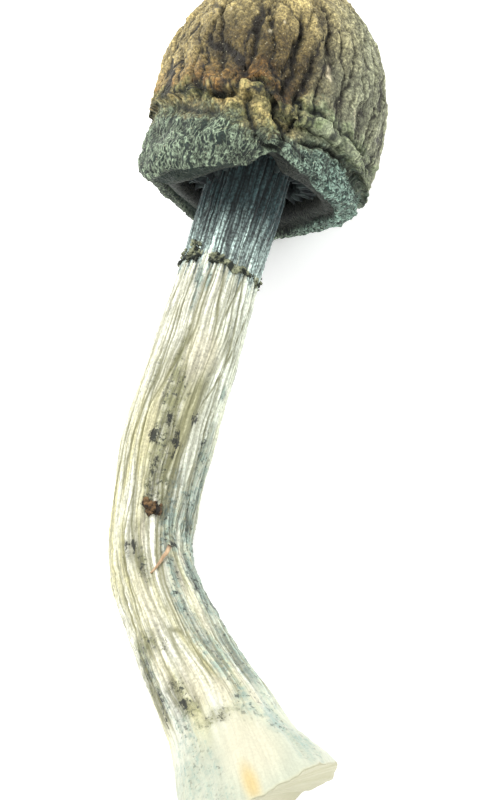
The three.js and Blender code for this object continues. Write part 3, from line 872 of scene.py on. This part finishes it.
def build_splinter():
    bm = bmesh.new()
    bmesh.ops.create_cone(bm, cap_ends=True, segments=8, radius1=0.09, radius2=0.24,
                          depth=SPLINTER_LENGTH)
    long_edges = [e for e in bm.edges if abs(e.verts[0].co.z - e.verts[1].co.z) > 1]
    bmesh.ops.subdivide_edges(bm, edges=long_edges, cuts=11, use_grid_fill=True)
    seat = on_stem(SPLINTER_DOWN, 10, 0.20)
    lean, across = np.array((0.55, 0.83, 0.06)), np.array((0.83, -0.55, 0))
    spun = np.array([v.co for v in bm.verts])
    run = spun[:, 2]
    along_run = np.stack([run * 1.5, run * 0, run * 0], 1)
    bow = 0.12 * np.cos(run * 0.9) + 0.1 * soft_noise(along_run, 72)
    points = (seat + run[:, None] * lean + (spun[:, 0] + bow)[:, None] * across
              + (spun[:, 1] * 0.6)[:, None] * np.array((0, 0, 1)))
    head = ease(run, SPLINTER_LENGTH * 0.36, SPLINTER_LENGTH * 0.5)
    return finished(bm, "straw_splinter", points, {"head": head})


def build_crumb():
    bm = bmesh.new()
    draw = np.random.default_rng(11)
    for k in range(26):
        size = 0.14 + 0.26 * draw.random()
        across, along = draw.normal(0, 0.45), draw.normal(0, 0.34)
        seat = on_stem(CRUMB_DOWN - 0.7 - along, 5 + degrees(across / 4.3),
                       0.1 + 0.4 * draw.random())
        lump(bm, seat, size, 3.3 * k + 1, fineness=2)
    return finished(bm, "soil_crumb")


def build_hair():
    share = np.linspace(0, 1, 12)
    root = on_stem(44.2 + 3.0 * share, -80 + 0 * share)
    loop = np.stack([-1.0 * np.sin(pi * share) - 0.05, 0.3 * np.sin(2 * pi * share),
                     0.3 + 0.5 * np.sin(pi * share)], 1)
    curve = bpy.data.curves.new("hair_line", "CURVE")
    curve.dimensions = "3D"
    curve.bevel_depth, curve.bevel_resolution, curve.use_fill_caps = 0.03 * MM, 1, True
    line = curve.splines.new("POLY")
    line.points.add(len(share) - 1)
    for knot, p in zip(line.points, (root + loop) * MM):
        knot.co = (*p, 1)
    drawn = bpy.data.objects.new("hair_line", curve)
    mesh = bpy.data.meshes.new_from_object(drawn)
    mesh.name = "fine_hair"
    bpy.data.objects.remove(drawn)
    made = bpy.data.objects.new("fine_hair", mesh)
    bpy.context.scene.collection.objects.link(made)
    return made


straw_splinter, soil_crumb, fine_hair = build_splinter(), build_crumb(), build_hair()
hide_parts("splinter")
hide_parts("crumb")
for scrap, finish_slot in ((straw_splinter, "splinter_wood"), (soil_crumb, "substrate_crumb"),
                           (fine_hair, "stem_flesh")):
    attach(scrap, "root")

# %% [markdown]
# ## Material helpers
#
# Colours are written as sRGB hex values, as a colour picker gives them, and
# turned to the linear values that the renderer works in. `add` puts one node
# in a material, sets it up and wires it.

# %% Colour and node helpers
def srgb(hex_code):
    channels = [int(hex_code[i:i + 2], 16) / 255 for i in (1, 3, 5)]
    return (*[c / 12.92 if c <= 0.04045 else ((c + 0.055) / 1.055) ** 2.4 for c in channels], 1.0)


def add(tree, kind, inputs, out=0, **settings):
    made = tree.nodes.new("ShaderNode" + kind)
    for name, value in settings.items():
        setattr(made, name, value)
    for socket, value in inputs.items():
        if isinstance(value, bpy.types.NodeSocket):
            tree.links.new(value, made.inputs[socket])
        else:
            made.inputs[socket].default_value = value
    return made.outputs[out]


def new_material(name):
    material = bpy.data.materials.new(name)
    material.use_nodes = True
    tree = material.node_tree
    return tree, tree.nodes["Principled BSDF"], material


def finish_shader(tree, skin, colour, bump, same_all_over):
    """Colour and bump are linked; what is the same all over is set on the shader itself."""
    tree.links.new(colour, skin.inputs["Base Color"])
    tree.links.new(bump, skin.inputs["Normal"])
    for socket, value in same_all_over.items():
        skin.inputs[socket].default_value = value


MIX = {"out": 2, "data_type": "RGBA"}      # settings of a colour mix
NUMBER = {"out": 2}                        # an attribute read as one number

# %% [markdown]
# ## Dried cap skin
#
# The dome's skin dries to a dull golden brown, with painted shade in its
# creases. Toward its left and right edges it is lighter, golden on the left and
# greyer on the right, partly its own tone and partly painted edge light. Under
# the skin's torn edge it is ochre, then the grey-green of bruised felt on the
# margin, and the chamber is black, partly with spores and partly as painted
# shade. The felt is a mat of threads 0.005 mm thick, far too fine to show, so
# it is drawn as pale strands a few tenths of a millimetre wide on a dark
# ground. The same strands wrinkle the brown skin. A weak sheen stands for the
# fuzz that catches light at the edges.

# %% Dried cap skin material
def cap_material():
    t, skin, material = new_material("dried_cap_skin")
    above_felt, above_edge, crease_shade, rise, chamber, under_lip, scuff, turn, up_dome = (
        add(t, "Attribute", {}, attribute_name=name, **NUMBER)
        for name in ("above_felt", "above_skin_edge", "crease_shade", "rise", "chamber", "under_lip",
                     "scuff", "turn", "up_dome"))
    grain = add(t, "Attribute", {}, out=1, attribute_name="grain")
    place = add(t, "TexCoord", {}, out=3)

    # blotches 3 mm across, wisps 1.1 mm, grit 0.3 mm
    blotch = add(t, "TexNoise", {"Vector": place, "Scale": 330, "Detail": 5, "Roughness": 0.62})
    wisps = add(t, "TexNoise", {"Vector": place, "Scale": 900, "Detail": 4, "Roughness": 0.65})
    grit = add(t, "TexNoise", {"Vector": place, "Scale": 3600, "Detail": 2, "Roughness": 0.6})
    # worm-like strands, longer down the cap than round it, bent by a noise
    curl = add(t, "TexNoise", {"Vector": place, "Scale": 500, "Detail": 2, "Roughness": 0.5}, out=1)
    curled = add(t, "VectorMath", {0: curl, 1: (1.5, 1.5, 1.5), 2: grain}, operation="MULTIPLY_ADD")
    strand_at = add(t, "Mapping", {"Vector": curled, "Scale": (2.3, 2.3, 1.05)})
    strand = add(t, "TexNoise", {"Vector": strand_at, "Scale": 1.0, "Detail": 2, "Roughness": 0.55})
    strand = add(t, "Math", {0: strand, 1: 0.5}, operation="SUBTRACT")
    strand = add(t, "Math", {0: strand}, operation="ABSOLUTE")
    strand = add(t, "MapRange", {0: strand, 1: 0.105, 2: 0.0})

    # dark brown low on the dome, lighter above, brown again at the tip; lighter and golden
    # toward the left edge and lighter and greyer toward the right edge, partly the skin's own tone
    # and partly painted edge light
    mottled = add(t, "MapRange", {0: blotch, 1: 0.42, 2: 0.60})
    dome = add(t, "Mix", {0: mottled, 6: srgb("#5d4f2a"), 7: srgb("#372d17")}, **MIX)
    for where, begins, whole, most, tint in (
            (up_dome, 6.5, 12.5, 0.85, "#c4b276"), (up_dome, 14, 23, 0.75, "#8b7548"),
            (turn, -0.45, -0.85, 0.9, "#ab9a68"), (turn, 0.35, 0.85, 0.9, "#92967a")):
        share = add(t, "MapRange", {0: where, 1: begins, 2: whole, 3: 0.0, 4: most})
        dome = add(t, "Mix", {0: share, 6: dome, 7: srgb(tint)}, **MIX)

    # a rusty tint just above the skin's edge, on the left and in the middle: partly the skin's own
    # colour, partly painted highlight on the crumpled belt
    glow_high = add(t, "MapRange", {0: above_edge, 1: 3.4, 2: 0.6})
    glow_left = add(t, "MapRange", {0: turn, 1: 0.35, 2: 0.0})
    rust_and_highlight = add(t, "Math", {0: glow_high, 1: glow_left}, operation="MULTIPLY")
    rusty = add(t, "MapRange", {0: wisps, 1: 0.35, 2: 0.65, 3: 0.1, 4: 0.8})
    rust_and_highlight = add(t, "Math", {0: rust_and_highlight, 1: rusty}, operation="MULTIPLY")
    dome = add(t, "Mix", {0: rust_and_highlight, 6: dome, 7: srgb("#86612f")}, **MIX)

    # ochre below the skin's edge, then grey-green felt, both with ragged borders
    ragged = add(t, "MapRange", {0: wisps, 1: 0.3, 2: 0.7, 3: -1.0, 4: 1.0})
    edge = add(t, "Math", {0: above_edge, 1: ragged}, operation="ADD")
    brown = add(t, "MapRange", {0: edge, 1: -0.5, 2: 0.5})
    ochre = add(t, "Mix", {0: mottled, 6: srgb("#b3a066"), 7: srgb("#77754a")}, **MIX)
    mossy = add(t, "Mix", {0: mottled, 6: srgb("#98a080"), 7: srgb("#65704f")}, **MIX)
    right_side = add(t, "MapRange", {0: turn, 1: 0.30, 2: 0.50})
    ochre = add(t, "Mix", {0: right_side, 6: ochre, 7: mossy}, **MIX)
    felt_line = add(t, "Math", {0: above_felt, 1: ragged}, operation="ADD")
    green = add(t, "MapRange", {0: felt_line, 1: 1.1, 2: -1.5})
    felt = add(t, "Mix", {0: strand, 6: srgb("#1d2e26"), 7: srgb("#9bad90")}, **MIX)
    teal = add(t, "Mix", {0: strand, 6: srgb("#2a443c"), 7: srgb("#aacdbc")}, **MIX)
    bluer = add(t, "MapRange", {0: turn, 1: 0.2, 2: 0.8, 3: 0.0, 4: 0.9})
    felt = add(t, "Mix", {0: bluer, 6: felt, 7: teal}, **MIX)
    under = add(t, "Mix", {0: green, 6: ochre, 7: felt}, **MIX)
    colour = add(t, "Mix", {0: brown, 6: under, 7: dome}, **MIX)

    # raised parts are painted lighter and low parts darker, as painted highlight and shade; grit
    # and wrinkles break the colour up
    ridge_light_and_hollow_shade = add(t, "MapRange", {0: rise, 1: -0.45, 2: 0.35, 3: 0.56, 4: 1.34})
    gritty = add(t, "MapRange", {0: grit, 1: 0.36, 2: 0.64, 3: 0.52, 4: 1.52})
    strand_low = add(t, "Mix", {0: brown, 2: 0.95, 3: 0.66}, data_type="FLOAT")
    strand_high = add(t, "Mix", {0: brown, 2: 1.05, 3: 1.22}, data_type="FLOAT")
    wrinkled = add(t, "MapRange", {0: strand, 3: strand_low, 4: strand_high})
    value = add(t, "Math", {0: ridge_light_and_hollow_shade, 1: gritty}, operation="MULTIPLY")
    value = add(t, "Math", {0: value, 1: wrinkled}, operation="MULTIPLY")
    colour = add(t, "HueSaturation", {"Color": colour, "Value": value})

    # painted shade in the creases: green-black on the felt, brown-black on the dome
    deep = add(t, "Mix", {0: brown, 6: srgb("#0f1714"), 7: srgb("#140e07")}, **MIX)
    painted_crease_shade = add(t, "MapRange", {0: crease_shade, 1: 0.15, 2: 0.80, 3: 0.0, 4: 0.95})
    colour = add(t, "Mix", {0: painted_crease_shade, 6: colour, 7: deep}, **MIX)
    speck = add(t, "MapRange", {0: grit, 1: 0.68, 2: 0.74, 3: 0.0, 4: 0.7})
    lip_shade = add(t, "Math", {0: under_lip, 1: 0.92}, operation="MULTIPLY")
    # painted shade under the lip: dark teal on the left, near black on the right
    facing_right = add(t, "MapRange", {0: turn, 1: 0.1, 2: 0.3})
    lip_shade_colour = add(t, "Mix", {0: facing_right, 6: srgb("#10251f"), 7: srgb("#060d0b")}, **MIX)
    # in this order: pale specks, scuffs, the painted shade under the lip, and the chamber painted
    # black, partly for spores and partly as shade
    for share, tint in ((speck, srgb("#cfc8a8")), (scuff, srgb("#e2d6b4")),
                        (lip_shade, lip_shade_colour), (chamber, srgb("#0a1110"))):
        colour = add(t, "Mix", {0: share, 6: colour, 7: tint}, **MIX)

    rough = add(t, "MapRange", {0: blotch, 1: 0.3, 2: 0.7, 3: 0.60, 4: 0.85})
    relief = add(t, "Math", {0: strand, 1: 0.9, 2: grit}, operation="MULTIPLY_ADD")
    t.links.new(rough, skin.inputs["Roughness"])
    bump = add(t, "Bump", {"Strength": 1.0, "Distance": 0.12 * MM, "Height": relief})
    finish_shader(t, skin, colour, bump, {"Sheen Weight": 0.08, "Sheen Roughness": 0.45,
                                          "Sheen Tint": srgb("#e8edc8")})
    return material


cap_skin.data.materials.append(cap_material())
print("dried_cap_skin has", len(cap_skin.data.materials[0].node_tree.nodes), "nodes")

# %% [markdown]
# ## Dried stem fibres
#
# The stalk is bundles of hollow fibres, dried to a dull cream, with its right
# side painted a cooler grey as shade. Grooves between the bundles get painted
# shade, bruised places turn blue-grey, rotten ones olive, and the end near the
# cap is black with spores that fell on it. The fibres are drawn about 0.25 mm
# wide and 6 mm long, and the grains that frost them 0.3 mm.
# The stored marks say where each stain lies, and fibres, wisps and grit fray
# its border, so that it looks soaked in and not painted on.

# %% Dried stem fibre material
def stem_material():
    t, skin, material = new_material("dried_stem_fibres")
    marks = {name: add(t, "Attribute", {}, attribute_name=name, **NUMBER)
             for name in ("down", "groove", "rise", "olive", "bruise", "spots", "pale", "tan",
                          "turn", "soft_foot", "torn_face")}
    grain = add(t, "Attribute", {}, out=1, attribute_name="grain")
    place = add(t, "TexCoord", {}, out=3)

    # bands 1.2 mm wide, wisps 0.9 mm across, and the finer fibres and grit
    fibre_at = add(t, "Mapping", {"Vector": grain, "Scale": (4.3, 4.3, 0.17)})
    fibre = add(t, "TexNoise", {"Vector": fibre_at, "Scale": 1.0, "Detail": 4, "Roughness": 0.7})
    band_at = add(t, "Mapping", {"Vector": grain, "Scale": (0.8, 0.8, 0.09)})
    band = add(t, "TexNoise", {"Vector": band_at, "Scale": 1.0, "Detail": 3, "Roughness": 0.6})
    wisps = add(t, "TexNoise", {"Vector": place, "Scale": 1100, "Detail": 4, "Roughness": 0.7})
    grit = add(t, "TexNoise", {"Vector": place, "Scale": 3400, "Detail": 2, "Roughness": 0.6})

    def frayed(name, low, high, strength, loose=1.0):
        """A stain broken up along the fibres, by wisps and by grit."""
        along = add(t, "MapRange", {0: fibre, 1: 0.3, 2: 0.7, 3: -0.26 * loose, 4: 0.26 * loose})
        around = add(t, "MapRange", {0: wisps, 1: 0.3, 2: 0.7, 3: -0.36 * loose, 4: 0.36 * loose})
        noise = add(t, "Math", {0: along, 1: around}, operation="ADD")
        total = add(t, "Math", {0: marks[name], 1: noise}, operation="ADD")
        specks = add(t, "MapRange", {0: grit, 1: 0.3, 2: 0.7, 3: -0.25, 4: 0.25})
        total = add(t, "Math", {0: total, 1: specks}, operation="ADD")
        frayed_mark = add(t, "MapRange", {0: total, 1: low, 2: high, 3: 0.0, 4: strength})
        present = add(t, "MapRange", {0: marks[name], 1: 0.03, 2: 0.25})
        return add(t, "Math", {0: frayed_mark, 1: present}, operation="MULTIPLY")

    warm = add(t, "MapRange", {0: band, 1: 0.42, 2: 0.62})
    # the flesh is whiter just below the ring
    aged = add(t, "MapRange", {0: marks["down"], 1: 11, 2: 21, 3: 0.1, 4: 1.0})
    warm = add(t, "Math", {0: warm, 1: aged}, operation="MULTIPLY")
    flesh = add(t, "Mix", {0: warm, 6: srgb("#dfdfce"), 7: srgb("#c9c498")}, **MIX)
    # painted shade: the right side of the stalk is tinted a cooler, darker grey
    right_side_shade = add(t, "MapRange", {0: marks["turn"], 1: 0.15, 2: 0.9, 3: 0.0, 4: 0.5})
    foot = add(t, "MapRange", {0: marks["down"], 1: 53, 2: 58})
    bruised = frayed("bruise", 0.30, 0.95, 0.85)
    rotten = frayed("olive", 0.25, 0.95, 0.85)
    smooth_pale = add(t, "MapRange", {0: marks["pale"], 1: 0.1, 2: 0.8, 3: 0.0, 4: 0.8})
    # each tint lies over the ones before it
    for share, tint in ((right_side_shade, "#d0dccd"), (foot, "#b2b6a2"), (bruised, "#82988d"),
                        (rotten, "#74764e"), (smooth_pale, "#c6c1a8"), (marks["tan"], "#c4b07c")):
        flesh = add(t, "Mix", {0: share, 6: flesh, 7: srgb(tint)}, **MIX)

    # spore dust: black-teal at the margin, grey-blue above the ring, gone below it
    loose = add(t, "MapRange", {0: fibre, 1: 0.3, 2: 0.7, 3: -2.2, 4: 2.2})
    dusted = add(t, "Math", {0: marks["down"], 1: loose}, operation="ADD")
    dust_to_ring = add(t, "MapRange", {0: dusted, 1: 9.0, 2: 7.4})
    black = add(t, "MapRange", {0: dusted, 1: 8.2, 2: 2.0})
    dust = add(t, "Mix", {0: black, 6: srgb("#c2d8cf"), 7: srgb("#3a5152")}, **MIX)
    flesh = add(t, "Mix", {0: dust_to_ring, 6: flesh, 7: dust}, **MIX)

    # ridges catch the light, and the grit frosts them; the foot is smoother
    ridged = add(t, "MapRange", {0: marks["rise"], 1: 0.1, 2: 0.9, 3: 0.84, 4: 1.12})
    stained = add(t, "Math", {0: marks["olive"], 1: marks["bruise"]}, operation="MAXIMUM")
    streaky = add(t, "Math", {0: stained, 1: dust_to_ring}, operation="MAXIMUM")
    streak_low = add(t, "MapRange", {0: streaky, 1: 0.1, 2: 0.9, 3: 0.74, 4: 0.28})
    streaked = add(t, "MapRange", {0: fibre, 1: 0.38, 2: 0.56, 3: streak_low, 4: 1.12})
    gritty = add(t, "MapRange", {0: grit, 1: 0.38, 2: 0.62, 3: 0.80, 4: 1.18})
    dusty_grit = add(t, "MapRange", {0: grit, 1: 0.38, 2: 0.62, 3: 0.40, 4: 1.65})
    gritty = add(t, "Mix", {0: dust_to_ring, 2: gritty, 3: dusty_grit}, data_type="FLOAT")
    value = add(t, "Math", {0: ridged, 1: streaked}, operation="MULTIPLY")
    value = add(t, "Math", {0: value, 1: gritty}, operation="MULTIPLY")
    calm = add(t, "MapRange", {0: marks["soft_foot"], 3: 1.0, 4: 0.25})
    value = add(t, "Mix", {0: calm, 2: 1.0, 3: value}, data_type="FLOAT")
    flesh = add(t, "HueSaturation", {"Color": flesh, "Value": value})

    # painted shade in the grooves, black-teal where the spore dust lies and blue-grey where bruised
    groove_shade_colour = add(t, "Mix", {0: dust_to_ring, 6: srgb("#6c6b46"), 7: srgb("#0b1214")}, **MIX)
    groove_shade_colour = add(t, "Mix", {0: bruised, 6: groove_shade_colour, 7: srgb("#2c3a3a")}, **MIX)
    groove_shade = add(t, "MapRange", {0: marks["groove"], 1: 0.25, 2: 0.95, 3: 0.0, 4: 0.85})
    specked = frayed("spots", 0.55, 1.05, 0.95, 2.2)
    # the stained parts are peppered with dark grit
    stained = add(t, "MapRange", {0: stained, 1: 0.15, 2: 0.8, 3: 0.0, 4: 0.85})
    pepper = add(t, "TexNoise", {"Vector": place, "Scale": 2300, "Detail": 2, "Roughness": 0.6})
    pepper = add(t, "MapRange", {0: pepper, 1: 0.57, 2: 0.66})
    pepper = add(t, "Math", {0: pepper, 1: stained}, operation="MULTIPLY")
    for share, tint in ((groove_shade, groove_shade_colour), (specked, srgb("#1c1f19")),
                        (pepper, srgb("#2a3028")), (marks["torn_face"], srgb("#bdbb9d"))):
        flesh = add(t, "Mix", {0: share, 6: flesh, 7: tint}, **MIX)

    relief = add(t, "Math", {0: grit, 1: 0.5, 2: fibre}, operation="MULTIPLY_ADD")
    bump = add(t, "Bump", {"Strength": 0.8, "Distance": 0.12 * MM, "Height": relief})
    finish_shader(t, skin, flesh, bump, {"Roughness": 0.72, "Sheen Weight": 0.2,
                                         "Sheen Roughness": 0.5})
    return material


stem_stalk.data.materials.append(stem_material())
print("dried_stem_fibres has", len(stem_stalk.data.materials[0].node_tree.nodes), "nodes")

# %% [markdown]
# ## Gill tissue, veil crust and scraps
#
# Gills are papery and black with spores, a little paler in patches. The
# veil's crust mixes pale shreds with spore-black crumbs. The scraps are straw,
# dried soil and one hair. All five are matt and mottled, so one function with
# two colours and a grain serves them all.

# %% Materials of the small pieces
def two_tone(name, dark, light, scale, low, high, rough, bump_mm,
             stretch=(1, 1, 1), dark_part=None):
    """A matt material that mixes two colours by noise, with bump of the same grain."""
    t, skin, material = new_material(name)
    place = add(t, "TexCoord", {}, out=3)
    at = add(t, "Mapping", {"Vector": place, "Scale": stretch})
    mottle = add(t, "TexNoise", {"Vector": at, "Scale": scale, "Detail": 4, "Roughness": 0.65})
    share = add(t, "MapRange", {0: mottle, 1: low, 2: high})
    colour = add(t, "Mix", {0: share, 6: srgb(dark), 7: srgb(light)}, **MIX)
    if dark_part:
        charred = add(t, "Attribute", {}, attribute_name=dark_part, **NUMBER)
        colour = add(t, "Mix", {0: charred, 6: colour, 7: srgb("#211d17")}, **MIX)
    bump = add(t, "Bump", {"Strength": 0.8, "Distance": bump_mm * MM, "Height": mottle})
    finish_shader(t, skin, colour, bump, {"Roughness": rough})
    return material


# piece, then name, dark and light colour, grains per metre, range, roughness, bump in mm
for piece, *finish in (
        # papery, with pale patches about every 0.7 mm
        (gill_blades, "spore_black_gills", "#10171a", "#42504c", 1500, 0.42, 0.74, 0.85, 0.1),
        # pale and black patches about every 0.9 mm
        (veil_shreds, "dried_veil_crust", "#1d231c", "#939779", 1100, 0.45, 0.60, 0.9, 0.12),
        # streaks four times as long as wide, nearly in line with the straw; one end is dark
        (straw_splinter, "dry_straw", "#8f7050", "#cdb08c", 1800, 0.35, 0.65, 0.6, 0.05,
         (1, 0.25, 1), "head"),
        # crumbly, with grains of 0.7 mm
        (soil_crumb, "dried_soil_crumb", "#1e1913", "#80633f", 1500, 0.44, 0.66, 0.9, 0.15),
        # nearly even, with a faint change of tone every millimetre
        (fine_hair, "pale_hair", "#c9ccb8", "#e8e9dc", 900, 0.4, 0.6, 0.5, 0.01)):
    piece.data.materials.append(two_tone(*finish))
    print(piece.name, "is", finish[0])

# %% [markdown]
# ## Table, light and camera
#
# The mushroom lies on a plain white table in very even light: a bright sky all
# round, and two large soft lamps for a little shape. The camera looks down
# steeply from the foot's side through a long lens.

# %% Table and lights
# in mm; the table lies a hair below the mushroom, so that they share no face
TABLE_HALF, TABLE_GAP = 1200, 0.02
TABLE_GLOW, SKY_STRENGTH = 0.30, 1.05


def build_table():
    bm = bmesh.new()
    bmesh.ops.create_grid(bm, x_segments=1, y_segments=1, size=TABLE_HALF)
    bmesh.ops.translate(bm, verts=bm.verts, vec=(0, 0, -TABLE_GAP))
    table = finished(bm, "white_table", smooth=False)
    _, surface, material = new_material("white_card")
    surface.inputs["Base Color"].default_value = srgb("#fbfbfb")
    surface.inputs["Roughness"].default_value = 0.9
    # a light table glows faintly, which washes out the shadow round the mushroom
    surface.inputs["Emission Color"].default_value = (1, 1, 1, 1)
    surface.inputs["Emission Strength"].default_value = TABLE_GLOW
    table.data.materials.append(material)


build_table()
sky = bpy.data.worlds.new("even_sky")
sky.use_nodes = True
sky.node_tree.nodes["Background"].inputs[0].default_value = (1, 1, 1, 1)
sky.node_tree.nodes["Background"].inputs[1].default_value = SKY_STRENGTH
bpy.context.scene.world = sky


def soft_lamp(name, place, size, watts):
    lamp = bpy.data.lights.new(name, "AREA")
    lamp.shape, lamp.size, lamp.energy = "SQUARE", size, watts
    holder = bpy.data.objects.new(name, lamp)
    holder.location = place
    holder.rotation_euler = (-Vector(place)).to_track_quat("-Z", "Y").to_euler()
    bpy.context.scene.collection.objects.link(holder)


soft_lamp("upper_left_lamp", (-0.25, 0.25, 0.50), 0.25, 3.0)
soft_lamp("right_lamp", (0.45, 0.10, 0.30), 0.25, 0.8)

# %% Camera
LOOK_AT = Vector((-0.15, 0.40, 8.0)) * MM
CAMERA_UP, CAMERA_DISTANCE = radians(65), 300 * MM
camera_data = bpy.data.cameras.new("long_lens")
camera_data.lens = 135
camera_data.sensor_width = 36
camera_data.clip_start = 0.01
camera = bpy.data.objects.new("long_lens", camera_data)
back = Vector((0, -cos(CAMERA_UP), sin(CAMERA_UP)))
camera.location = LOOK_AT + back * CAMERA_DISTANCE
camera.rotation_euler = (-back).to_track_quat("-Z", "Y").to_euler()
bpy.context.scene.collection.objects.link(camera)
bpy.context.scene.camera = camera
bpy.context.scene.view_settings.view_transform = "Standard"
print("camera at", [round(c / MM) for c in camera.location], "mm")
